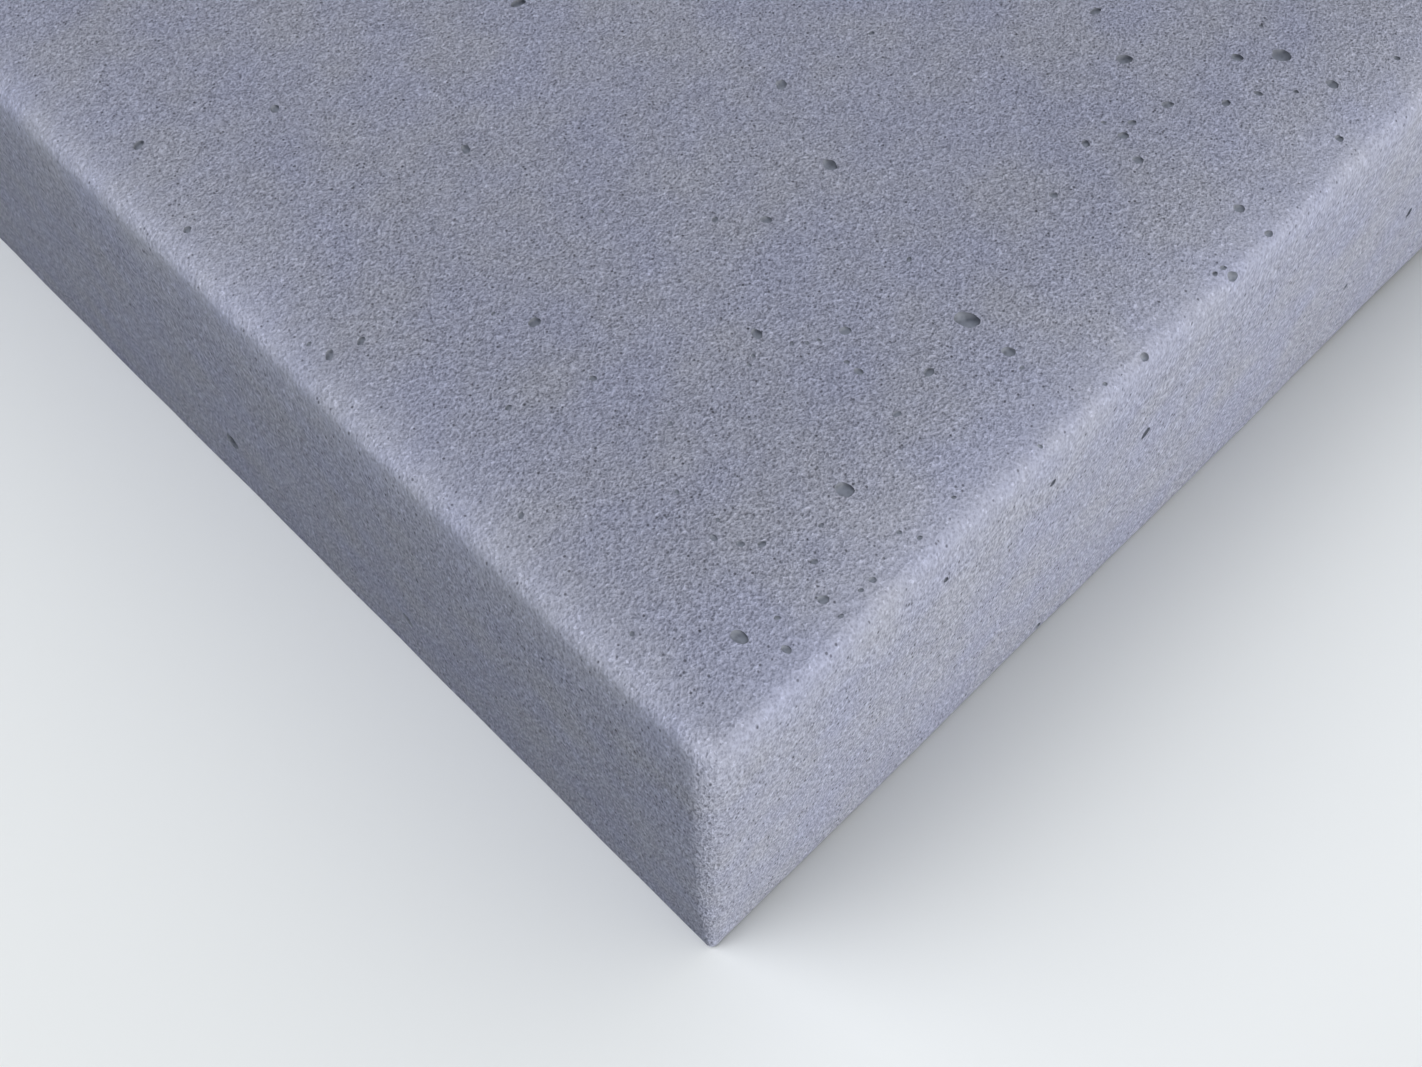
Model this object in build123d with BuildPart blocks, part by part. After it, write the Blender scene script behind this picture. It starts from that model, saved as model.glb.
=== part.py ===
from build123d import *
import math
import os

# Foam block: one slab of open-cell cushioning foam, cut square from a larger bun.
# All sizes are millimetres. The origin is the middle of the bottom face, X runs
# along the length, Y along the width and Z up through the thickness.

# Driving dimensions of the slab
length = 200
width = 150
thickness = 50

# Cut foam relaxes along its edges: into a soft shoulder round the top, less down
# the upright edges, and hardly at all where the slab presses on its bottom edges
top_round = 6
upright_round = 2.5
bottom_round = 0.8

# A blowhole is a gas bubble in the foam that the knife cut open. It is a little
# wider inside than at its mouth, so its wall hangs over
bubble_over_mouth = 1.1

# The way up the top shoulder, from level to upright, at which its blowholes open
shoulder_angle = 45

# The largest blowholes in the top: way along the length and along the width from the
# front left corner, and width of the mouth
top_holes = [
    (10.5, 7, 1.4),
    (20, 43, 1.5),
    (27, 10.5, 2),
    (47, 76, 1.5),
    (48.5, 15, 2.4),
    (53.5, 37, 1.6),
    (85.5, 25.5, 1.9),
    (97.5, 14.5, 2.1),
    (142, 49, 2),
    (176, 84, 1.8),
]

# Blowholes in the shoulder over the front side: way along the length and mouth
shoulder_holes = [(70.5, 1.5)]

# Blowholes in the upright sides: way from the side's left end as seen from outside,
# height over the bottom face, and mouth
front_holes = [(118, 21, 1.6)]
right_holes = [(117, 33, 1.7)]
back_holes = [(34, 17, 1.6)]
left_holes = [(71, 13, 1.5)]

# The corner that each face's blowholes are measured from, with the face's outward way
left_x = -length / 2
right_x = length / 2
front_y = -width / 2
back_y = width / 2
top_face = Plane((left_x, front_y, thickness), x_dir=(1, 0, 0), z_dir=(0, 0, 1))
front_face = Plane((left_x, front_y, 0), x_dir=(1, 0, 0), z_dir=(0, -1, 0))
right_face = Plane((right_x, front_y, 0), x_dir=(0, 1, 0), z_dir=(1, 0, 0))
back_face = Plane((right_x, back_y, 0), x_dir=(-1, 0, 0), z_dir=(0, 1, 0))
left_face = Plane((left_x, back_y, 0), x_dir=(0, -1, 0), z_dir=(-1, 0, 0))

# The shoulder's surface over the front side, half way round
shoulder_out = top_round * (1 - math.cos(math.radians(shoulder_angle)))
shoulder_down = top_round * (1 - math.sin(math.radians(shoulder_angle)))
shoulder_normal = (0, -math.cos(math.radians(shoulder_angle)), math.sin(math.radians(shoulder_angle)))
front_shoulder = Plane(
    (left_x, front_y + shoulder_out, thickness - shoulder_down),
    x_dir=(1, 0, 0),
    z_dir=shoulder_normal,
)

# The flat stretch of each face, between its rounded edges
flat_length = (top_round, length - top_round)
flat_width = (top_round, width - top_round)
side_length = (upright_round, length - upright_round)
side_width = (upright_round, width - upright_round)
side_height = (bottom_round, thickness - top_round)


def open_bubbles(face, holes, x_flat, y_flat):
    """Cut a bubble open at each hole whose bubble lies whole between the face's rounded edges."""
    for x, y, mouth in holes:
        radius = bubble_over_mouth * mouth / 2
        depth = math.sqrt(radius**2 - (mouth / 2) ** 2)
        inside_x = x_flat[0] + radius <= x <= x_flat[1] - radius
        inside_y = y_flat[0] + radius <= y <= y_flat[1] - radius
        if inside_x and inside_y:
            with Locations(face):
                with Locations((x, y, -depth)):
                    Sphere(radius, mode=Mode.SUBTRACT)


with BuildPart() as foam_block:
    Box(length, width, thickness, align=(Align.CENTER, Align.CENTER, Align.MIN))
    fillet(foam_block.edges().filter_by(Axis.Z), upright_round)
    fillet(foam_block.faces().sort_by(Axis.Z)[-1].edges(), top_round)
    fillet(foam_block.faces().sort_by(Axis.Z)[0].edges(), bottom_round)
    open_bubbles(top_face, top_holes, flat_length, flat_width)
    on_shoulder = [(x, 0, mouth) for x, mouth in shoulder_holes]
    open_bubbles(front_shoulder, on_shoulder, flat_length, (-shoulder_out, shoulder_out))
    open_bubbles(front_face, front_holes, side_length, side_height)
    open_bubbles(right_face, right_holes, side_width, side_height)
    open_bubbles(back_face, back_holes, side_length, side_height)
    open_bubbles(left_face, left_holes, side_width, side_height)
foam_block.part.label = "foam_block"

os.makedirs("parts", exist_ok=True)
export_step(foam_block.part, "parts/foam_block.step")
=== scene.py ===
import logging
import math
import random
from dataclasses import dataclass, field
from enum import Enum
from functools import cache

import bmesh
import bpy
from bmesh.types import BMEdge, BMesh
from mathutils import Matrix, Vector, noise
from mathutils.bvhtree import BVHTree


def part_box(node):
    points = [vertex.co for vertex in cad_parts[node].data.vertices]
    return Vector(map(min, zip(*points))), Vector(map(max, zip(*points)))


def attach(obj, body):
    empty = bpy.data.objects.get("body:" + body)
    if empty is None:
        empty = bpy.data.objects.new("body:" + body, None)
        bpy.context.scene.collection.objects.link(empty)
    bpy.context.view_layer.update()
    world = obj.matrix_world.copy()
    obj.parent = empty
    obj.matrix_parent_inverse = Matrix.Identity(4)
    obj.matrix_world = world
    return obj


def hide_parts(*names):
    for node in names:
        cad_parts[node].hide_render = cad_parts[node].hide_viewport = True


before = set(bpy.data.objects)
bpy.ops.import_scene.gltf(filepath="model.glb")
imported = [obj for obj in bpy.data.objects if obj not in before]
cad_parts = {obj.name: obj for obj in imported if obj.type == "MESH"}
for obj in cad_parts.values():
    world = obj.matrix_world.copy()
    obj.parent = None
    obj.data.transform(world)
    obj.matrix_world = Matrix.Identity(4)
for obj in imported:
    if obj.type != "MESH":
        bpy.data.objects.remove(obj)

# The foam block: one slab of cushioning foam, cut square from a larger bun, on pale paper.
# Sizes are in metres, the frame's unit, unless they are said to be in millimetres.
MM = 0.001
NODE = "foam_block"
BODY = "root"

# The slab's attributes: how worn down its grain is, and how pale its edges are, partly paler rubbed foam
# and partly a painted highlight
EDGE_WORN = "edge_worn"
EDGE_PALE_AND_HIGHLIGHT = "edge_pale_and_highlight"

# A Mix node's sockets go by their places, because their names are shared between types
FACTOR = 0
FLOAT_A = 2
FLOAT_B = 3
COLOUR_A = 6
COLOUR_B = 7
FLOAT_RESULT = 0
COLOUR_RESULT = 2

Tree = bpy.types.NodeTree
Node = bpy.types.Node
Socket = bpy.types.NodeSocket
Material = bpy.types.Material

log = logging.getLogger(NODE)


def linear(hex_colour: str) -> tuple[float, float, float, float]:
    """Turn an sRGB hex colour to linear light.

    Args:
        hex_colour: Six hex digits after a hash mark.

    Returns:
        Red, green, blue and an alpha of one, all from 0 to 1.
    """
    channels = []
    for start in (1, 3, 5):
        value = int(hex_colour[start:start + 2], 16) / 255
        channels.append(value / 12.92 if value <= 0.04045 else ((value + 0.055) / 1.055) ** 2.4)
    return (*channels, 1.0)


def add_node(
    tree: Tree,
    kind: str,
    settings: dict | None = None,
    values: dict | None = None,
    links: dict | None = None,
) -> Node:
    """Add a node to a tree with its settings and links.

    Args:
        tree: The node tree to add to.
        kind: The node's type name, after the "ShaderNode" that they all start with.
        settings: Properties of the node itself.
        values: Default values of its input sockets, by name or place.
        links: Output sockets to link from, by the name or place of the input.

    Returns:
        The new node.
    """
    node = tree.nodes.new(f"ShaderNode{kind}")
    for name, value in (settings or {}).items():
        setattr(node, name, value)
    for name, value in (values or {}).items():
        node.inputs[name].default_value = value
    for name, source in (links or {}).items():
        tree.links.new(source, node.inputs[name])
    return node


def new_material(name: str) -> tuple[Material, Tree]:
    """Make an empty node material.

    Args:
        name: The material's name.

    Returns:
        The material and its node tree, cleared.
    """
    material = bpy.data.materials.new(name)
    material.use_nodes = True
    material.node_tree.nodes.clear()
    return material, material.node_tree


@dataclass(frozen=True)
class CutFoam:
    """Flexible polyurethane foam, sliced with a band knife.

    The knife opens thousands of round cells, so the face is a fine matt grain of hollows
    between pale struts. The hollows are darkened in the colour, partly as painted shade in
    their recesses; a few deeper pits get painted shade, and a few strut ends a painted glint.
    Dye settles unevenly, which leaves faint clouds of lavender and of plain grey. Rubbed
    edges lose their hollows, and their colour is lifted, partly as paler rubbed foam and
    partly as a painted highlight. The cells are drawn at their real size.

    Attributes:
        lavender: Colour where more of the dye has settled.
        plain_grey: Colour where less of it has.
        cloud: Size of the clouds in the dye.
        cell: Width of a cell.
        small_cell: Width of the smaller cells among them.
        rise: How many times taller than wide they are, because the foam rose.
        cell_share: How much the cells add to the height of the grain.
        small_share: How much the smaller cells add to it.
        ground: How far the sum is lowered.
        hollow: Height of the grain in a hollow.
        strut: Height of the grain on a strut.
        middle_height: Height that the grain is worn down or filled towards.
        worn_relief: Share of the relief that is left where it is most worn.
        hollow_shade: Brightness of a hollow, as a share of the dye's, darker partly as painted shade.
        strut_shade: Brightness of a strut.
        glint_share: Share of the small cells with a strut end that gets a painted glint.
        glint: How much brighter the painted glint makes such an end.
        pit_share: Share of the cells that open into a deeper one.
        pit_shade: Brightness of the painted shade in such a pit, as a share of what it would be.
        pit_edge: Way from the cell's middle to where the pit has faded out, in cells.
        pit_floor: Way from the cell's middle to where the pit is darkest.
        edge_highlight_lift: How many times brighter the palest edge is, as paler foam and painted
            highlight.
        swell: Way from one slight swelling of the face to the next.
        swell_depth: Height of the swellings.
        cell_depth: Depth of the cells.
        roughness: How matt it is.
        gloss: How much it reflects.
    """

    lavender: str = "#969AAE"
    plain_grey: str = "#999CAA"
    cloud: float = 9.0 * MM
    cell: float = 0.33 * MM
    small_cell: float = 0.21 * MM
    rise: float = 2.0
    cell_share: float = 0.45
    small_share: float = 0.35
    ground: float = 0.3
    hollow: float = 0.3
    strut: float = 0.9
    middle_height: float = 0.6
    worn_relief: float = 0.55
    hollow_shade: float = 0.58
    strut_shade: float = 1.38
    glint_share: float = 0.035
    glint: float = 0.30
    pit_share: float = 0.03
    pit_shade: float = 0.45
    pit_edge: float = 0.5
    pit_floor: float = 0.25
    edge_highlight_lift: float = 1.40
    swell: float = 0.9 * MM
    swell_depth: float = 0.18 * MM
    cell_depth: float = 0.24 * MM
    roughness: float = 0.95
    gloss: float = 0.15

    def material(self) -> Material:
        """Build the node material."""
        material, tree = new_material("cut_polyurethane_foam")
        place = add_node(tree, "TexCoord").outputs["Object"]
        drawn_in = add_node(
            tree, "VectorMath", {"operation": "MULTIPLY"}, {1: (1, 1, 1 / self.rise)}, {0: place}
        ).outputs[0]
        cells, small_cells = (
            add_node(tree, "TexVoronoi", values={"Scale": 1 / width}, links={"Vector": drawn_in})
            for width in (self.cell, self.small_cell)
        )
        height = self._height(tree, drawn_in, cells, small_cells)
        colour = add_node(
            tree,
            "VectorMath",
            {"operation": "SCALE"},
            links={0: self._dye(tree, place), "Scale": self._shade(tree, height, cells, small_cells)},
        ).outputs[0]
        shader = add_node(
            tree,
            "BsdfPrincipled",
            values={"Roughness": self.roughness, "Specular IOR Level": self.gloss},
            links={"Base Color": colour, "Normal": self._relief(tree, place, height)},
        )
        add_node(tree, "OutputMaterial", links={"Surface": shader.outputs["BSDF"]})
        return material

    def _height(self, tree: Tree, place: Socket, cells: Node, small_cells: Node) -> Socket:
        """Add up the height of the grain, and wear it down along the edges.

        Args:
            tree: The material's nodes.
            place: Where each point lies on the slab, drawn in along the rise.
            cells: The pattern of the cells.
            small_cells: The pattern of the smaller cells.

        Returns:
            The height, about 0.3 in a hollow and 0.9 on a strut.
        """
        height = add_node(
            tree,
            "TexNoise",
            values={"Scale": 1 / self.cell, "Detail": 2.0, "Roughness": 0.7},
            links={"Vector": place},
        ).outputs["Fac"]
        for pattern, share in ((cells, self.cell_share), (small_cells, self.small_share)):
            height = add_node(
                tree,
                "Math",
                {"operation": "MULTIPLY_ADD"},
                {1: share},
                {0: pattern.outputs["Distance"], 2: height},
            ).outputs[0]
        lowered = add_node(
            tree, "Math", {"operation": "SUBTRACT"}, {1: self.ground}, {0: height}
        ).outputs[0]
        worn = add_node(tree, "Attribute", {"attribute_name": EDGE_WORN}).outputs["Fac"]
        left_over = add_node(
            tree, "MapRange", values={"To Min": 1.0, "To Max": self.worn_relief}, links={"Value": worn}
        ).outputs["Result"]
        return add_node(
            tree,
            "Mix",
            {"data_type": "FLOAT"},
            {FLOAT_A: self.middle_height},
            {FACTOR: left_over, FLOAT_B: lowered},
        ).outputs[FLOAT_RESULT]

    def _shade(self, tree: Tree, height: Socket, cells: Node, small_cells: Node) -> Socket:
        """Work out how bright each point is, as a share of the dye's brightness.

        Args:
            tree: The material's nodes.
            height: The height of the grain.
            cells: The pattern of the cells.
            small_cells: The pattern of the smaller cells.

        Returns:
            The brightness: that of hollows, darkened partly as painted shade, struts and painted
            glints, times the edges' paler tone and painted highlight, and the pits' painted shade.
        """
        # Hollows darker than struts: grain tone, and partly painted shade in the recesses.
        grain = add_node(
            tree,
            "MapRange",
            {"clamp": False},
            {
                "From Min": self.hollow,
                "From Max": self.strut,
                "To Min": self.hollow_shade,
                "To Max": self.strut_shade,
            },
            {"Value": height},
        ).outputs["Result"]
        # Painted glints: a few random small cells are brightened in the colour.
        glints = self._few(tree, small_cells, "Red", self.glint_share)
        shade = add_node(
            tree, "Math", {"operation": "MULTIPLY_ADD"}, {1: self.glint}, {0: glints, 2: grain}
        ).outputs[0]
        # Along the edges the colour is lifted: partly paler rubbed foam, partly a painted highlight.
        pale = add_node(tree, "Attribute", {"attribute_name": EDGE_PALE_AND_HIGHLIGHT}).outputs["Fac"]
        # Then the colour is darkened by the painted shade in the deep pits.
        for mask, most in ((pale, self.edge_highlight_lift), (self._painted_pit_shade(tree, cells), self.pit_shade)):
            change = add_node(
                tree, "MapRange", values={"To Min": 1.0, "To Max": most}, links={"Value": mask}
            ).outputs["Result"]
            shade = add_node(
                tree, "Math", {"operation": "MULTIPLY"}, links={0: shade, 1: change}
            ).outputs[0]
        return shade

    def _painted_pit_shade(self, tree: Tree, cells: Node) -> Socket:
        """Pick the cells that are opened deep, and paint shade in each.

        Args:
            tree: The material's nodes.
            cells: The pattern of the cells.

        Returns:
            A mask of the painted shade, 1 in the middle of such a cell.
        """
        dark = add_node(
            tree,
            "MapRange",
            values={"From Min": self.pit_edge, "From Max": self.pit_floor},
            links={"Value": cells.outputs["Distance"]},
        ).outputs["Result"]
        deep = self._few(tree, cells, "Green", self.pit_share)
        return add_node(tree, "Math", {"operation": "MULTIPLY"}, links={0: dark, 1: deep}).outputs[0]

    @staticmethod
    def _few(tree: Tree, pattern: Node, channel: str, share: float) -> Socket:
        """Pick a few cells of a pattern by their random colour.

        Args:
            tree: The material's nodes.
            pattern: The pattern of cells.
            channel: Red, Green or Blue, each of which gives another choice.
            share: How many of the cells to pick, from 0 to 1.

        Returns:
            A mask, 1 in the cells that are picked.
        """
        chosen_by = add_node(
            tree, "SeparateColor", links={"Color": pattern.outputs["Color"]}
        ).outputs[channel]
        return add_node(tree, "Math", {"operation": "LESS_THAN"}, {1: share}, {0: chosen_by}).outputs[0]

    def _dye(self, tree: Tree, place: Socket) -> Socket:
        """Draw the faint clouds in the dye.

        Args:
            tree: The material's nodes.
            place: Where each point lies on the slab.

        Returns:
            The colour of the dye.
        """
        clouds = add_node(
            tree,
            "TexNoise",
            values={"Scale": 1 / self.cloud, "Detail": 3.0, "Roughness": 0.5},
            links={"Vector": place},
        ).outputs["Fac"]
        settled = add_node(
            tree, "MapRange", values={"From Min": 0.35, "From Max": 0.65}, links={"Value": clouds}
        ).outputs["Result"]
        return add_node(
            tree,
            "Mix",
            {"data_type": "RGBA"},
            {COLOUR_A: linear(self.plain_grey), COLOUR_B: linear(self.lavender)},
            {FACTOR: settled},
        ).outputs[COLOUR_RESULT]

    def _relief(self, tree: Tree, place: Socket, height: Socket) -> Socket:
        """Raise the grain on a face that swells a little.

        Args:
            tree: The material's nodes.
            place: Where each point lies on the slab.
            height: The height of the grain.

        Returns:
            The way that each point faces.
        """
        swell = add_node(
            tree, "TexNoise", values={"Scale": 1 / self.swell, "Detail": 1.0}, links={"Vector": place}
        ).outputs["Fac"]
        rolling = add_node(
            tree,
            "Bump",
            values={"Strength": 1.0, "Distance": self.swell_depth},
            links={"Height": swell},
        ).outputs["Normal"]
        return add_node(
            tree,
            "Bump",
            values={"Strength": 1.0, "Distance": self.cell_depth},
            links={"Height": height, "Normal": rolling},
        ).outputs["Normal"]


@dataclass(frozen=True)
class BubbleWall:
    """The skin that a gas bubble leaves in polyurethane foam.

    It was blown, not cut, so it is smooth and a plainer grey than the cut face. The windows
    of its neighbour cells are darkened in its colour as painted shade.

    Attributes:
        grey: Its colour.
        window: Width of a window.
        window_shade: Brightness of the painted shade at a window's middle, as a share of the grey's.
        rib_shade: Brightness of the ribs between the windows.
        roughness: How matt it is.
        gloss: How much it reflects.
    """

    grey: str = "#898E99"
    window: float = 0.45 * MM
    window_shade: float = 0.8
    rib_shade: float = 1.05
    roughness: float = 0.7
    gloss: float = 0.3

    def material(self) -> Material:
        """Build the node material."""
        material, tree = new_material("blown_bubble_wall")
        place = add_node(tree, "TexCoord").outputs["Object"]
        # Painted shade: the middles of the windows to the neighbour cells are darker.
        windows = add_node(
            tree,
            "TexVoronoi",
            {"feature": "SMOOTH_F1"},
            {"Scale": 1 / self.window, "Smoothness": 0.4},
            {"Vector": place},
        ).outputs["Distance"]
        shade = add_node(
            tree,
            "MapRange",
            values={
                "From Min": 0.1, "From Max": 0.5, "To Min": self.window_shade, "To Max": self.rib_shade
            },
            links={"Value": windows},
        ).outputs["Result"]
        colour = add_node(
            tree, "VectorMath", {"operation": "SCALE"}, {0: linear(self.grey)[:3]}, {"Scale": shade}
        ).outputs[0]
        shader = add_node(
            tree,
            "BsdfPrincipled",
            values={"Roughness": self.roughness, "Specular IOR Level": self.gloss},
            links={"Base Color": colour},
        )
        add_node(tree, "OutputMaterial", links={"Surface": shader.outputs["BSDF"]})
        return material


@dataclass(frozen=True)
class BackgroundPaper:
    """Background paper, uncoated, so it is pale and quite matt.

    Attributes:
        pale: Its colour.
        roughness: How matt it is.
        gloss: How much it reflects.
    """

    pale: str = "#EDF0F3"
    roughness: float = 0.9
    gloss: float = 0.1

    def material(self) -> Material:
        """Build the node material."""
        material, tree = new_material("pale_paper_floor")
        shader = add_node(
            tree,
            "BsdfPrincipled",
            values={
                "Base Color": linear(self.pale),
                "Roughness": self.roughness,
                "Specular IOR Level": self.gloss,
            },
        )
        add_node(tree, "OutputMaterial", links={"Surface": shader.outputs["BSDF"]})
        return material


@dataclass(frozen=True)
class PhotoCamera:
    """The camera, where the slab's edges put it.

    Attributes:
        corner: The slab's front left bottom corner in the frame.
        picture: Width and height of the photograph, in pixels.
        lens: Focal length, in millimetres.
        sensor: Width of the sensor, in millimetres.
        from_corner: Way from the corner to the camera, in millimetres.
        heading: Way that it looks, in degrees from Y towards X.
        down: How far it looks down, in degrees.
        roll: Its tilt to the side, in degrees.
        nearest: How close to it a thing still shows.
    """

    corner: Vector
    picture: tuple[int, int] = (1422, 1067)
    lens: float = 40.4
    sensor: float = 36.0
    from_corner: tuple[float, float, float] = (-32.4, -34.0, 166.9)
    heading: float = 44.17
    down: float = 59.53
    roll: float = -0.69
    nearest: float = 1.0 * MM

    @property
    def eye(self) -> Vector:
        """Where the camera stands."""
        return self.corner + Vector(self.from_corner) * MM

    def axes(self) -> tuple[Vector, Vector, Vector]:
        """Work out which way the camera looks.

        Returns:
            The ways to the right, up and ahead in the picture.
        """
        heading = math.radians(self.heading)
        down = math.radians(self.down)
        roll = math.radians(self.roll)
        level = Vector((math.cos(heading), -math.sin(heading), 0))
        flat = Vector((math.sin(heading), math.cos(heading), 0))
        ahead = flat * math.cos(down) - Vector((0, 0, math.sin(down)))
        right = level * math.cos(roll) + level.cross(ahead) * math.sin(roll)
        return right, right.cross(ahead), ahead

    def place(self) -> None:
        """Make it the scene's camera."""
        right, up, ahead = self.axes()
        data = bpy.data.cameras.new("photo_camera")
        data.lens = self.lens
        data.sensor_width = self.sensor
        data.sensor_fit = "HORIZONTAL"
        data.clip_start = self.nearest
        camera = bpy.data.objects.new("photo_camera", data)
        turn = Matrix((right, up, -ahead)).transposed().to_4x4()
        camera.matrix_world = Matrix.Translation(self.eye) @ turn
        bpy.context.scene.collection.objects.link(camera)
        bpy.context.scene.camera = camera

    def shows(self, place: Vector, out: Vector) -> bool:
        """Whether the photograph shows a place.

        Args:
            place: A point on the slab.
            out: The outward way of the face that it lies on.

        Returns:
            True if the face is turned to the camera and the point is in the picture.
        """
        way = place - self.eye
        if way.dot(out) >= 0:
            return False
        right, up, ahead = self.axes()
        wide, tall = self.picture
        half = self.sensor / 2 / self.lens * way.dot(ahead)
        return abs(way.dot(right)) < half and abs(way.dot(up)) < half * tall / wide


@dataclass(frozen=True)
class Box:
    """The slab's box in the frame.

    Attributes:
        low: Its lowest corner.
        high: Its highest corner.
    """

    low: Vector
    high: Vector

    @property
    def middle(self) -> Vector:
        """Its centre."""
        return (self.low + self.high) / 2

    @property
    def half(self) -> Vector:
        """Half its size."""
        return (self.high - self.low) / 2

    def way_in(self, place: Vector) -> float:
        """How far a point lies in from the nearest side, seen from above."""
        low, high = self.low, self.high
        return min(place.x - low.x, high.x - place.x, place.y - low.y, high.y - place.y)


class Side(Enum):
    """The six faces of the slab, each with its outward way and the way along it."""

    TOP = ((0, 0, 1), (1, 0, 0))
    BOTTOM = ((0, 0, -1), (1, 0, 0))
    FRONT = ((0, -1, 0), (1, 0, 0))
    RIGHT = ((1, 0, 0), (0, 1, 0))
    BACK = ((0, 1, 0), (-1, 0, 0))
    LEFT = ((-1, 0, 0), (0, -1, 0))

    @property
    def out(self) -> Vector:
        """The outward normal."""
        return Vector(self.value[0])

    @property
    def along(self) -> Vector:
        """The way that the first coordinate runs."""
        return Vector(self.value[1])

    @property
    def up(self) -> Vector:
        """The way that the second coordinate runs."""
        return self.out.cross(self.along)


@dataclass(frozen=True)
class Blowhole:
    """A bubble that the knife cut open.

    Attributes:
        side: The face that it opens on.
        along: Way along the face from its low corner, in millimetres.
        up: Way up the face from its low corner, in millimetres.
        mouth: Width of its mouth, in millimetres.
    """

    side: Side
    along: float
    up: float
    mouth: float


# The blowholes that the photograph shows, and the CAD part's one at 118 mm in the front side:
# way along, way up and width of the mouth, in millimetres. A side's start from its left end as
# seen from outside, and the top's from the front left corner.
TOP_HOLES = (
    (48.5, 15, 2.2), (97.5, 14.5, 2), (27, 10.5, 1.8), (85.5, 25.5, 1.7), (53.5, 37, 1.5),
    (47, 76, 1.4), (58, 48, 1.3), (10.5, 7, 1.4), (20, 43, 1.3), (94, 17.5, 1.2),
    (98, 8.5, 1.2), (48.5, 10, 1.2), (89, 32, 1.1), (19.5, 82, 1.1), (83.5, 18.5, 1.1),
    (33.5, 27.5, 1.1), (7, 88, 1.1), (77, 19, 1.1), (29.5, 64, 1.1), (41.5, 13.5, 1.1),
    (75.5, 16, 1.1), (78, 5.5, 1.1), (39.5, 22, 1), (88, 14.5, 1), (4.5, 54, 1),
    (18, 4.5, 1), (73.5, 21, 1), (44, 36.5, 1), (7.5, 53, 0.9), (79, 19.5, 0.8),
    (93, 4, 0.9), (12.5, 3.5, 0.9), (40.5, 40, 0.8), (4, 75.5, 0.9), (106, 6, 0.8),
    (37, 18, 0.8), (19.5, 34.5, 0.8), (91.5, 13, 0.8), (36, 12.5, 0.8), (66, 19, 0.8),
    (12, 37.5, 0.7), (15.5, 15, 0.7), (16.7, 13, 0.7), (18, 11.7, 0.7), (20, 7.5, 0.7),
    (22.5, 3, 0.7), (70, 46.5, 0.6), (94.5, 10.5, 0.6), (5.5, 28.5, 0.6), (50, 23.5, 0.6),
    (33.5, 48.5, 0.5), (99.5, 18.5, 0.5), (14, 6, 0.5), (23, 9.5, 0.5), (4, 56.5, 0.5),
    (77, 21.5, 0.5), (18, 46.5, 0.5), (37, 19.5, 0.5), (18, 2.5, 0.5), (4.5, 13.5, 0.5),
    (21, 26, 0.5), (27.5, 4.5, 0.5), (28.5, 3, 0.5), (35, 24.5, 0.5), (48, 8, 0.5),
    (21, 3, 0.5), (17, 16, 0.5), (36, 23.5, 0.45), (37, 23, 0.45), (31.5, 26, 0.45),
    (30.5, 25.5, 0.45), (16.5, 20.5, 0.45), (33.5, 3.5, 0.45), (58, 1.3, 1.1), (71.5, 1.2, 1.2),
    (78, 1.8, 0.9), (70, 2.4, 0.6), (71.2, 2.3, 0.6), (52.5, 1.8, 0.5), (43, 1.6, 0.5),
)
FRONT_HOLES = (
    (62.5, 32, 1.5), (45, 42, 0.9), (30, 42.5, 0.8), (53.5, 1.6, 1.2), (118, 21, 1.3),
    (107.6, 16.1, 0.9),
)
LEFT_HOLES = ((71, 13, 2.6), (102.5, 11, 1.6), (110, 1.5, 0.8))


@cache
def ball(steps: int) -> tuple[list[Vector], list[tuple[int, ...]]]:
    """Make a ball with a radius of one.

    Args:
        steps: How finely it is made. Each step gives four times the faces.

    Returns:
        Its points, and its faces as places in the list of points.
    """
    shape = bmesh.new()
    bmesh.ops.create_icosphere(shape, subdivisions=steps, radius=1.0)
    shape.verts.index_update()
    points = [vert.co.copy() for vert in shape.verts]
    faces = [tuple(vert.index for vert in face.verts) for face in shape.faces]
    shape.free()
    return points, faces


@dataclass(frozen=True)
class BubbleForm:
    """How a bubble differs from a ball.

    In the sides of the slab a bubble stands upright, because it was drawn out as the
    foam rose.

    Attributes:
        side_below: Upward part of a face's normal below which the face is a side.
        angle: Range of the angle at which a bubble lies, in degrees.
        side_angle: How much further it is turned in a side.
        length: Range of its length, as a share of the ball's.
        side_length: How many times longer still it is in a side.
        breadth: Range of its breadth.
        depth: Its depth.
        lump: How far its wall swells in and out, as a share of the radius.
        lumps: How close together the swellings are.
    """

    side_below: float = 0.5
    angle: tuple[float, float] = (-70, -20)
    side_angle: float = 135
    length: tuple[float, float] = (1.0, 1.25)
    side_length: float = 1.2
    breadth: tuple[float, float] = (0.75, 0.9)
    depth: float = 0.9
    lump: float = 0.2
    lumps: float = 1.4

    def stretch(self, normal: Vector, chance: random.Random) -> Matrix:
        """Draw a bubble's stretch and the way that it lies.

        Args:
            normal: Way out of the foam there.
            chance: Source of the random choices.

        Returns:
            The matrix that turns a ball into the bubble.
        """
        turn = normal.to_track_quat("Z", "Y").to_matrix()
        in_side = abs(normal.z) < self.side_below
        angle = chance.uniform(*self.angle) + (self.side_angle if in_side else 0)
        spin = Matrix.Rotation(math.radians(angle), 3, "Z")
        length = chance.uniform(*self.length) * (self.side_length if in_side else 1.0)
        return turn @ spin @ Matrix.Diagonal((length, chance.uniform(*self.breadth), self.depth))

    def lumpy(self, point: Vector, centre: Vector) -> float:
        """How far out the wall is at a point of the ball, as a share of the radius."""
        return 1 + self.lump * noise.noise(point * self.lumps + centre * (1 / MM))


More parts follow.
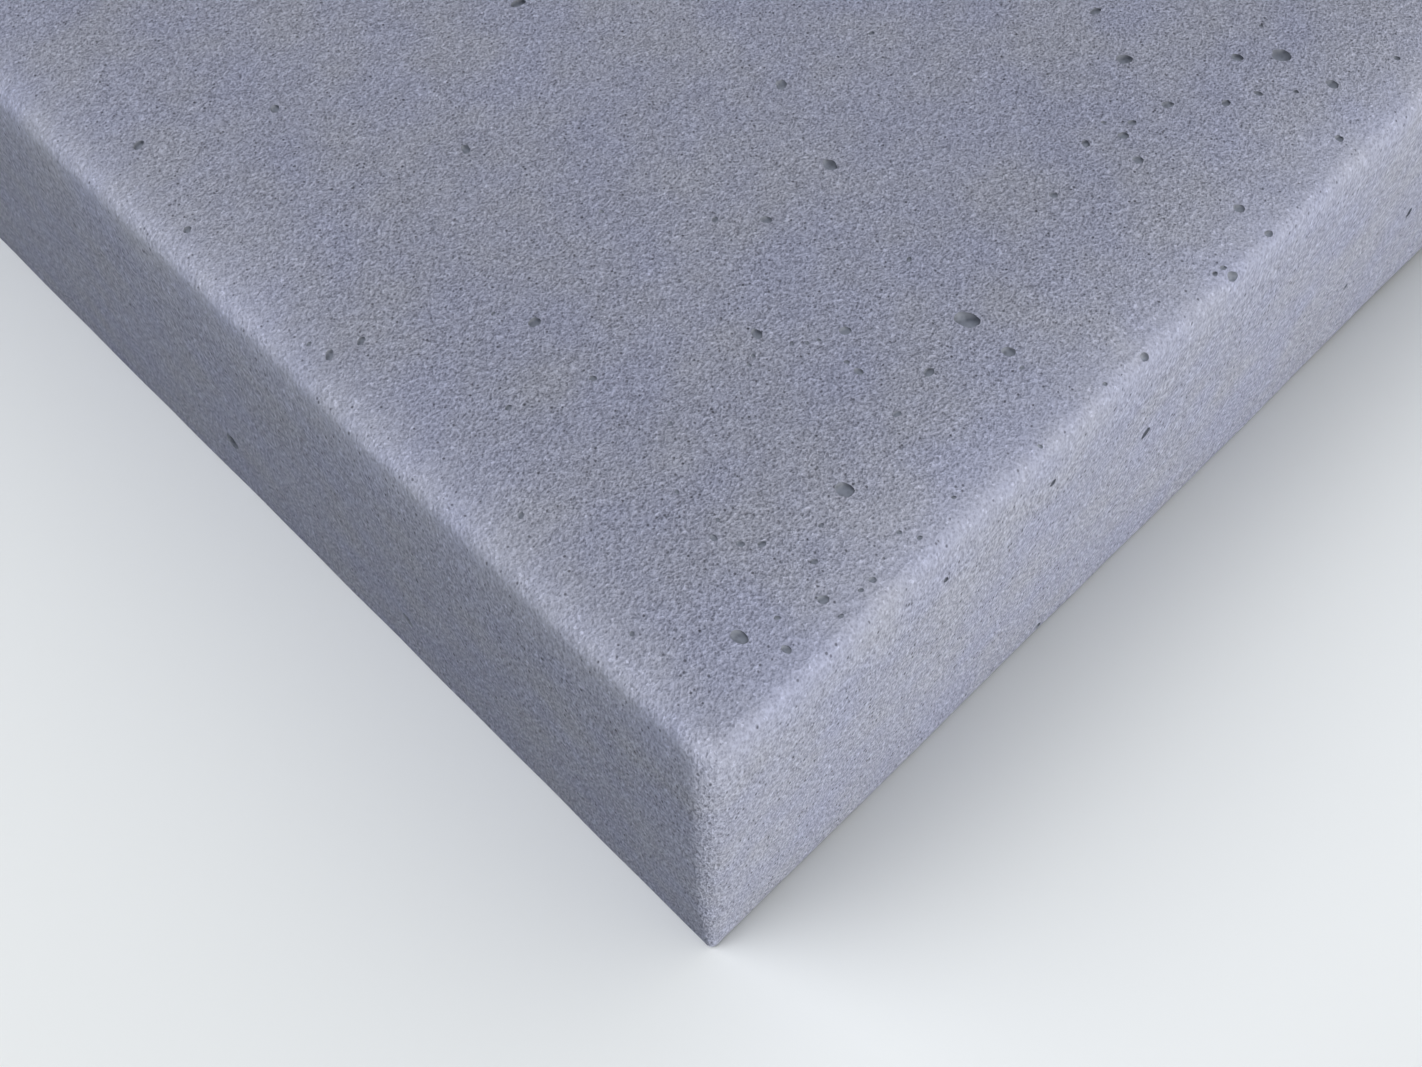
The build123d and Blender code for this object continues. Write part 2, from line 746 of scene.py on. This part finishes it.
@dataclass
class BubbleLayer:
    """Separate bubbles, to cut out of the slab together.

    Attributes:
        form: How they differ from balls.
        points: Corners of all the bubbles.
        faces: Faces of all the bubbles, as places in the list of points.
        taken: Centre and radius of each bubble.
        apart: Least way between two centres, as a share of the two radii together.
        fine_from: Radius from which a bubble gets the finer ball.
        fine: How finely that ball is made.
        coarse: How finely the other ball is made.
    """

    form: BubbleForm = BubbleForm()
    points: list[Vector] = field(default_factory=list)
    faces: list[tuple[int, ...]] = field(default_factory=list)
    taken: list[tuple[Vector, float]] = field(default_factory=list)
    apart: float = 1.3
    fine_from: float = 0.45 * MM
    fine: int = 3
    coarse: int = 2

    def has_room(self, centre: Vector, radius: float) -> bool:
        """Whether a new bubble would stay clear of the others."""
        return all((centre - other).length > (radius + size) * self.apart for other, size in self.taken)

    def add(self, centre: Vector, normal: Vector, radius: float, chance: random.Random) -> None:
        """Add one bubble.

        Args:
            centre: Its middle.
            normal: Way out of the foam there.
            radius: Its size.
            chance: Source of its random stretch.
        """
        stretch = self.form.stretch(normal, chance)
        points, faces = ball(self.fine if radius > self.fine_from else self.coarse)
        first = len(self.points)
        for point in points:
            self.points.append(centre + stretch @ point * (radius * self.form.lumpy(point, centre)))
        self.faces += [tuple(first + place for place in face) for face in faces]
        self.taken.append((centre, radius))

    def mesh(self, name: str, wall: Material) -> bpy.types.Mesh:
        """Make the layer's mesh.

        Args:
            name: The mesh's name.
            wall: Finish inside the bubbles.

        Returns:
            The mesh, with the wall's finish in its second slot, as on the slab.
        """
        mesh = bpy.data.meshes.new(name)
        mesh.from_pydata(self.points, [], self.faces)
        mesh.materials.append(wall)
        mesh.materials.append(wall)
        mesh.polygons.foreach_set("material_index", [1] * len(mesh.polygons))
        return mesh


@dataclass(frozen=True)
class Blowholes:
    """All the blowholes: those that the photograph shows, and the same kind elsewhere.

    Attributes:
        box: The slab's box.
        spacing: Way from one scattered blowhole to the next, in millimetres.
        margin: Least way from it to the box's edges, in millimetres.
        smallest: Width of the smallest scattered mouth, in millimetres.
        largest: Width of the largest, in millimetres.
        variety: How much the scattered mouths differ, as a power.
        wider: Range of a bubble's width, as a share of its mouth's.
        search_from: How far outside the box to look for the surface, in millimetres.
        seed: Start of every random choice.
    """

    box: Box
    spacing: float = 9.5
    margin: float = 3.0
    smallest: float = 0.45
    largest: float = 2.2
    variety: float = 0.55
    wider: tuple[float, float] = (1.0, 1.05)
    search_from: float = 5.0
    seed: int = 7

    def cut(self, piece: bpy.types.Object, tree: BVHTree, wall: Material, camera: PhotoCamera) -> None:
        """Cut the blowholes out of the slab and keep the result as its mesh.

        Args:
            piece: The slab's object.
            tree: The slab's surface.
            wall: Finish inside the blowholes.
            camera: The photograph's camera, where the holes are known.
        """
        cutters = []
        for number, layer in enumerate(self._layers(self._holes(camera), tree)):
            cutter = bpy.data.objects.new(f"bubbles_{number}", layer.mesh(f"bubbles_{number}", wall))
            bpy.context.scene.collection.objects.link(cutter)
            cut = piece.modifiers.new(cutter.name, "BOOLEAN")
            cut.operation = "DIFFERENCE"
            cut.solver = "MANIFOLD"
            cut.object = cutter
            cutters.append(cutter)
        graph = bpy.context.evaluated_depsgraph_get()
        finished = bpy.data.meshes.new_from_object(piece.evaluated_get(graph))
        piece.modifiers.clear()
        piece.data = finished
        for cutter in cutters:
            bpy.data.objects.remove(cutter)

    def _holes(self, camera: PhotoCamera) -> list[Blowhole]:
        """List the blowholes that the photograph shows, and scatter others out of its sight.

        Args:
            camera: The photograph's camera.

        Returns:
            The blowholes.
        """
        holes = [Blowhole(Side.TOP, *hole) for hole in TOP_HOLES]
        holes += [Blowhole(Side.FRONT, *hole) for hole in FRONT_HOLES]
        holes += [Blowhole(Side.LEFT, *hole) for hole in LEFT_HOLES]
        chance = random.Random(self.seed)
        size = (self.box.high - self.box.low) / MM
        for side in Side:
            long = abs(size.dot(side.along))
            tall = abs(size.dot(side.up))
            for _ in range(round(long * tall / self.spacing**2)):
                along = chance.uniform(self.margin, long - self.margin)
                up = chance.uniform(self.margin, tall - self.margin)
                hole = Blowhole(side, along, up, self._mouth(chance))
                if not camera.shows(self._place(hole), side.out):
                    holes.append(hole)
        return holes

    def _mouth(self, chance: random.Random) -> float:
        """Draw the width of a mouth: most are small and a few large."""
        return min(self.largest, self.smallest * (1 - chance.random()) ** -self.variety)

    def _place(self, hole: Blowhole) -> Vector:
        """Work out where on the slab's box a blowhole opens.

        Args:
            hole: The blowhole.

        Returns:
            The place, measured from the corner where both ways along its face start.
        """
        side = hole.side
        corner = Vector()
        for axis in range(3):
            ways = side.along[axis] + side.up[axis] - side.out[axis]
            corner[axis] = self.box.low[axis] if ways > 0 else self.box.high[axis]
        return corner + (side.along * hole.along + side.up * hole.up) * MM

    def _layers(self, holes: list[Blowhole], tree: BVHTree) -> list[BubbleLayer]:
        """Make the bubbles to cut away, in layers in which no two bubbles touch.

        Args:
            holes: The blowholes to open.
            tree: The slab's surface, to find where each mouth lies.

        Returns:
            The layers.
        """
        chance = random.Random(self.seed)
        layers: list[BubbleLayer] = []
        for hole in holes:
            out = hole.side.out
            mouth_at, normal, _, _ = tree.ray_cast(self._place(hole) + out * self.search_from * MM, -out)
            if mouth_at is None:
                continue
            half_mouth = hole.mouth * MM / 2
            radius = half_mouth * chance.uniform(*self.wider)
            centre = mouth_at - normal * math.sqrt(radius**2 - half_mouth**2)
            layer = next((layer for layer in layers if layer.has_room(centre, radius)), None)
            if layer is None:
                layer = BubbleLayer()
                layers.append(layer)
            layer.add(centre, normal, radius, chance)
        return layers


@dataclass(frozen=True)
class EdgeWearAndHighlight:
    """Wear along the slab's top edges, and their paler tone with a painted highlight.

    Left of the diagonal from the front left corner they are palest, with a crest of painted
    highlight there. Lengths are in millimetres.

    Attributes:
        box: The slab's box.
        crest: Way in from the box to the middle of the rubbed strip.
        worn_width: Spread of the wear to each side of that.
        side_reach: How fast the paler tone and painted highlight fade down the sides.
        top_reach: How fast it fades across the top.
        left_top_reach: How fast it fades across the top from the palest edges.
        pallor_and_highlight: How pale the edges are, of 1, as paler rubbed foam and painted highlight.
        left_pallor_and_highlight: How pale the palest edges are, of 1, in the same two parts.
        highlight_ridge: How much paler still their crest is, as painted highlight.
        highlight_ridge_width: Spread of that crest.
    """

    box: Box
    crest: float = 1.3
    worn_width: float = 3.5
    side_reach: float = 6.0
    top_reach: float = 7.0
    left_top_reach: float = 3.5
    pallor_and_highlight: float = 0.34
    left_pallor_and_highlight: float = 0.57
    highlight_ridge: float = 0.43
    highlight_ridge_width: float = 1.1

    def mark(self, mesh: bpy.types.Mesh) -> None:
        """Store the wear, and the paler tone with its painted highlight, of each point in the mesh.

        Args:
            mesh: The slab's mesh.
        """
        worn = mesh.attributes.new(EDGE_WORN, "FLOAT", "POINT")
        # The paler tone stored here is partly paler rubbed foam, partly a painted highlight.
        pale = mesh.attributes.new(EDGE_PALE_AND_HIGHLIGHT, "FLOAT", "POINT")
        for vert in mesh.vertices:
            worn.data[vert.index].value, pale.data[vert.index].value = self._wear_and_highlight(vert.co)

    def _wear_and_highlight(self, place: Vector) -> tuple[float, float]:
        """Work out the wear, and the paler tone with its painted highlight, at a point.

        Args:
            place: The point.

        Returns:
            How worn down the grain is there, and how pale it is with its painted highlight, both from 0
            to 1.
        """
        down = self.box.high.z - place.z
        way_in = self.box.way_in(place)
        from_crest = abs(max(way_in, down) / MM - self.crest)
        worn = math.exp(-0.5 * (from_crest / self.worn_width) ** 2)
        left = place.x - self.box.low.x < place.y - self.box.low.y
        reach = self.left_top_reach if left else self.top_reach
        if down > way_in:
            reach = self.side_reach
        broad = math.exp(-from_crest / reach)
        if not left:
            return worn, self.pallor_and_highlight * broad
        highlight_ridge = math.exp(-0.5 * (from_crest / self.highlight_ridge_width) ** 2)
        return worn, self.left_pallor_and_highlight * broad + self.highlight_ridge * highlight_ridge


@dataclass(frozen=True)
class Wave:
    """A slow, random rise and fall over the slab.

    Attributes:
        length: Rough way from one crest to the next.
        height: How far it swings.
        shift: What sets it apart from other waves.
    """

    length: float
    height: float
    shift: tuple[float, float, float] = (0, 0, 0)

    def at(self, place: Vector) -> float:
        """Its height at a point."""
        return self.height * noise.noise(place * (1 / self.length) + Vector(self.shift))


@dataclass(frozen=True)
class FoamBlock:
    """The slab, with its rounded edges, its slight waves and its blowholes.

    Attributes:
        box: The slab's box in the frame.
        arris: Radius where the top turns over into the sides.
        upright_round: Radius down the four upright edges.
        bottom_round: Radius round the bottom.
        near_edges: Ways in from the box at which the faces are cut, where they bend most.
        grid: Spacing of the cuts in between, which give the faces enough points to wave.
        foot_round: Share of an upright edge's round that is left at the floor.
        foot_reach: Height from which the whole round is there.
        crown: How far the top has sunk along its edges.
        crown_reach: How fast that fades on the way in.
        lean: How far the sides have drawn in at the top.
        lean_reach: How fast that fades on the way down.
        uneven: How unevenly the edges have sunk and drawn in, as a share of the way.
        slow_wave: The long waves of the faces, with a height in millimetres.
        quick_wave: The short waves, with a height in millimetres.
        inset: How far the waves are set in from the box, in millimetres.
        lift: How far the front bottom edge has curled up off the floor.
        lifted: Where along the front it has done so.
        lift_reach: How fast that fades on the way up and in.
        rim_angle: Angle past which an edge stays sharp, in degrees.
    """

    box: Box
    arris: float = 1.2 * MM
    upright_round: float = 2.7 * MM
    bottom_round: float = 0.8 * MM
    near_edges: tuple[float, ...] = (2.1 * MM, 3.0 * MM, 4.0 * MM, 5.2 * MM, 6.6 * MM)
    grid: float = 2.5 * MM
    foot_round: float = 0.4
    foot_reach: float = 14 * MM
    crown: float = 1.4 * MM
    crown_reach: float = 6.5 * MM
    lean: float = 0.8 * MM
    lean_reach: float = 5.0 * MM
    uneven: Wave = Wave(15 * MM, 0.6)
    slow_wave: Wave = Wave(38 * MM, 0.12)
    quick_wave: Wave = Wave(9 * MM, 0.08, (5, 2, 8))
    inset: float = 0.08
    lift: float = 1.0 * MM
    lifted: tuple[float, float] = (100.0 * MM, 170.0 * MM)
    lift_reach: float = 6 * MM
    rim_angle: float = 38

    def build(self, foam: Material, wall: Material, camera: PhotoCamera) -> bpy.types.Object:
        """Make the slab's object.

        Args:
            foam: Finish of the cut faces.
            wall: Finish inside the blowholes.
            camera: The photograph's camera, where the holes are known.

        Returns:
            The finished piece.
        """
        shape = self._body()
        self._sharpen_feet(shape)
        self._wave(shape)
        tree = BVHTree.FromBMesh(shape)
        mesh = bpy.data.meshes.new("open_cell_foam")
        shape.to_mesh(mesh)
        shape.free()
        mesh.materials.append(foam)
        mesh.materials.append(wall)
        piece = bpy.data.objects.new("open_cell_foam", mesh)
        bpy.context.scene.collection.objects.link(piece)
        Blowholes(self.box).cut(piece, tree, wall, camera)
        self._smooth(piece.data)
        # Store the wear, and the paler edges with their painted highlight.
        EdgeWearAndHighlight(self.box).mark(piece.data)
        return piece

    def _body(self) -> BMesh:
        """Make the plain slab.

        Returns:
            The slab with its rounded edges, cut into a grid.
        """
        low, high = self.box.low, self.box.high
        close = 1e-7
        shape = bmesh.new()
        bmesh.ops.create_cube(shape, size=1.0)
        bmesh.ops.scale(shape, vec=high - low, verts=shape.verts)
        bmesh.ops.translate(shape, vec=self.box.middle, verts=shape.verts)
        self._round(shape, self._level_edges(shape, high.z), self.arris, segments=5)
        self._round(shape, self._corner_edges(shape), self.upright_round, segments=6)
        self._round(shape, self._level_edges(shape, low.z), self.bottom_round, segments=3)
        for axis in range(3):
            across = Vector((0, 0, 0))
            across[axis] = 1
            for place in self._cuts(low[axis], high[axis]):
                bmesh.ops.bisect_plane(
                    shape,
                    geom=shape.verts[:] + shape.edges[:] + shape.faces[:],
                    dist=close,
                    plane_co=across * place,
                    plane_no=across,
                )
        return shape

    def _cuts(self, start: float, end: float) -> list[float]:
        """Work out where to cut the faces between two ends.

        Args:
            start: The low end.
            end: The high end.

        Returns:
            The places of the cuts, closest together near the ends.
        """
        first = self.near_edges[-1]
        count = round((end - start - 2 * first) / self.grid)
        step = (end - start - 2 * first) / count
        middle = [start + first + number * step for number in range(1, count)]
        return [start + way for way in self.near_edges] + middle + [end - way for way in self.near_edges]

    @staticmethod
    def _round(shape: BMesh, edges: list[BMEdge], radius: float, segments: int) -> None:
        """Round some edges.

        Args:
            shape: The slab.
            edges: The edges to round.
            radius: The radius to give them.
            segments: How many faces to make round each.
        """
        bmesh.ops.bevel(
            shape,
            geom=edges,
            offset=radius,
            offset_type="OFFSET",
            affect="EDGES",
            segments=segments,
            profile=0.5,
            material=-1,
            clamp_overlap=False,
        )

    @staticmethod
    def _level_edges(shape: BMesh, height: float) -> list[BMEdge]:
        """Find the edges that lie round the slab's outline at a height.

        Args:
            shape: The slab.
            height: Their height.

        Returns:
            The edges at that height where the faces turn by half a radian or more.
        """
        close = 1e-6
        least_turn = 0.5
        level = []
        for edge in shape.edges:
            at_height = all(abs(vert.co.z - height) < close for vert in edge.verts)
            if at_height and edge.calc_face_angle(0) >= least_turn:
                level.append(edge)
        return level

    def _corner_edges(self, shape: BMesh) -> list[BMEdge]:
        """Find the upright edges, with the mitres that carry them over the shoulder.

        Args:
            shape: The slab.

        Returns:
            The edges.
        """
        half, middle = self.box.half, self.box.middle
        close = 1e-5
        corner = []
        for edge in shape.edges:
            ways_in = []
            for vert in edge.verts:
                from_x = half.x - abs(vert.co.x - middle.x)
                from_y = half.y - abs(vert.co.y - middle.y)
                ways_in.append((from_x, from_y))
            mitre = all(abs(from_x - from_y) < close for from_x, from_y in ways_in)
            if mitre and abs(edge.verts[0].co.z - edge.verts[1].co.z) > close:
                corner.append(edge)
        return corner

    def _sharpen_feet(self, shape: BMesh) -> None:
        """Draw the upright edges out towards sharp corners at the floor.

        Args:
            shape: The slab, which is changed.
        """
        low, high = self.box.low, self.box.high
        just_inside = 0.999
        for vert in shape.verts:
            near_x = low.x if vert.co.x < 0 else high.x
            near_y = low.y if vert.co.y < 0 else high.y
            way = Vector((vert.co.x - near_x, vert.co.y - near_y))
            if max(abs(way.x), abs(way.y)) < self.upright_round * just_inside:
                share = min(1.0, (vert.co.z - low.z) / self.foot_reach)
                way *= self.foot_round + (1 - self.foot_round) * share * share * (3 - 2 * share)
                vert.co.x = near_x + way.x
                vert.co.y = near_y + way.y

    def _wave(self, shape: BMesh) -> None:
        """Wave the faces a little, and let the slab sag and draw in round its top.

        Foam is under strain in its bun. Once cut, the faces round an edge relax towards
        it, so the top sinks over the last few millimetres and the sides lean in.

        Args:
            shape: The slab, which is changed.
        """
        shape.normal_update()
        middle, half = self.box.middle, self.box.half
        for vert in shape.verts:
            waves = self.slow_wave.at(vert.co) + self.quick_wave.at(vert.co) - self.inset
            moved = vert.normal * waves * MM
            down = self.box.high.z - vert.co.z
            up = vert.co.z - self.box.low.z
            uneven = 1 + self.uneven.at(vert.co)
            inward = self.lean * uneven * math.exp(-down / self.lean_reach)
            flat = 1.0
            for axis in range(2):
                way = vert.co[axis] - middle[axis]
                flat *= 1 - math.exp(-max(0.0, half[axis] - abs(way)) / self.crown_reach)
                moved[axis] -= way / half[axis] * inward
            moved.z -= self.crown * uneven * (1 - flat) * (up / (up + down)) ** 2
            moved.z += self._curl(vert.co)
            vert.co += moved
        shape.normal_update()

    def _curl(self, place: Vector) -> float:
        """Work out how far the front bottom edge has curled up at a point.

        Args:
            place: The point.

        Returns:
            How far it goes up.
        """
        start, end = self.lifted
        low = self.box.low
        along = (place.x - low.x - start) / (end - start)
        if not 0 < along < 1:
            return 0.0
        way_off = (place.z - low.z + place.y - low.y) / self.lift_reach
        return self.lift * math.sin(math.pi * along) ** 2 * math.exp(-way_off)

    def _smooth(self, mesh: bpy.types.Mesh) -> None:
        """Smooth the faces up to each mouth's crisp rim."""
        mesh.polygons.foreach_set("use_smooth", [True] * len(mesh.polygons))
        mesh.set_sharp_from_angle(angle=math.radians(self.rim_angle))


@dataclass(frozen=True)
class SunLamp:
    """A broad, far lamp.

    Attributes:
        name: What it is called.
        towards: Way from the slab to the lamp. Its parts are also how much light it adds
            to a white face that looks along X, Y or Z.
        spread: How wide it looks from the slab, in degrees.
        tint: Its colour.
    """

    name: str
    towards: tuple[float, float, float]
    spread: float
    tint: str

    def place(self, lit: bpy.types.Collection) -> None:
        """Add the lamp to the scene.

        Args:
            lit: The objects that it lights.
        """
        way = Vector(self.towards)
        data = bpy.data.lights.new(self.name, "SUN")
        data.energy = way.length * math.pi
        data.angle = math.radians(self.spread)
        data.color = linear(self.tint)[:3]
        lamp = bpy.data.objects.new(self.name, data)
        lamp.rotation_euler = way.to_track_quat("Z", "Y").to_euler()
        lamp.light_linking.receiver_collection = lit
        bpy.context.scene.collection.objects.link(lamp)


@dataclass(frozen=True)
class Studio:
    """A floor of pale paper, an even sky, two lamps for the slab and two for the floor.

    Attributes:
        floor_size: Length and width of the paper.
        floor_gap: How far the paper lies under the slab's box, so that no faces meet.
        sky_colour: Colour of the even light from all round.
        sky: Strength of that light.
        slab_lamps: The lamps that light the slab alone.
        floor_lamps: The lamps that light the floor alone. The slab still shades it.
    """

    floor_size: float = 6.0
    floor_gap: float = 0.05 * MM
    sky_colour: str = "#FFFFFF"
    sky: float = 0.10
    slab_lamps: tuple[SunLamp, ...] = (
        SunLamp("window_right", (0.02, -0.765, 0.24), 30, "#FFFCF8"),
        SunLamp("lamp_left", (-0.065, 0.0, 0.565), 30, "#F8FAFF"),
    )
    floor_lamps: tuple[SunLamp, ...] = (
        SunLamp("floor_front", (0.156, -0.058, 0.35), 65, "#FFFFF8"),
        SunLamp("floor_back", (-0.30, 0.22, 0.51), 45, "#FCFDFF"),
    )

    def build(self, bottom: float, piece: bpy.types.Object) -> None:
        """Make the floor, the world and the lamps.

        Args:
            bottom: Height of the slab's underside.
            piece: The slab's object.
        """
        floor = self._floor(bottom)
        self._world()
        for name, target, lamps in (
            ("lit_slab", piece, self.slab_lamps),
            ("lit_floor", floor, self.floor_lamps),
        ):
            lit = bpy.data.collections.new(name)
            lit.objects.link(target)
            for lamp in lamps:
                lamp.place(lit)

    def _floor(self, bottom: float) -> bpy.types.Object:
        """Lay the floor just under the slab.

        Args:
            bottom: Height of the slab's underside.

        Returns:
            The floor's object.
        """
        shape = bmesh.new()
        bmesh.ops.create_grid(shape, x_segments=1, y_segments=1, size=self.floor_size / 2)
        bmesh.ops.translate(shape, vec=(0, 0, bottom - self.floor_gap), verts=shape.verts)
        mesh = bpy.data.meshes.new("floor")
        shape.to_mesh(mesh)
        shape.free()
        mesh.materials.append(BackgroundPaper().material())
        floor = bpy.data.objects.new("floor", mesh)
        bpy.context.scene.collection.objects.link(floor)
        return floor

    def _world(self) -> None:
        """Light the slab evenly from all round, and show white behind it."""
        world = bpy.data.worlds.new("studio")
        bpy.context.scene.world = world
        world.use_nodes = True
        tree = world.node_tree
        tree.nodes.clear()
        seen = add_node(tree, "LightPath").outputs["Is Camera Ray"]
        even = add_node(
            tree, "Background", values={"Color": linear(self.sky_colour), "Strength": self.sky}
        )
        white = add_node(tree, "Background", values={"Color": (1, 1, 1, 1), "Strength": 1.0})
        mix = add_node(tree, "MixShader", links={0: seen, 1: even.outputs[0], 2: white.outputs[0]})
        add_node(tree, "OutputWorld", links={"Surface": mix.outputs[0]})


def main() -> None:
    """Build the slab and its studio, in order."""
    logging.basicConfig(level=logging.INFO, format="%(name)s: %(message)s")
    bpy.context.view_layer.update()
    low, high = (Vector(corner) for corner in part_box(NODE))
    camera = PhotoCamera(low)
    camera.place()

    slab = FoamBlock(Box(low, high))
    piece = slab.build(CutFoam().material(), BubbleWall().material(), camera)
    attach(piece, BODY)
    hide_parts(NODE)
    log.info("%s: %d faces", piece.name, len(piece.data.polygons))

    Studio().build(low.z, piece)
    log.info("camera and studio placed")

    bpy.context.scene.view_settings.view_transform = "Standard"


if __name__ == "__main__":
    main()
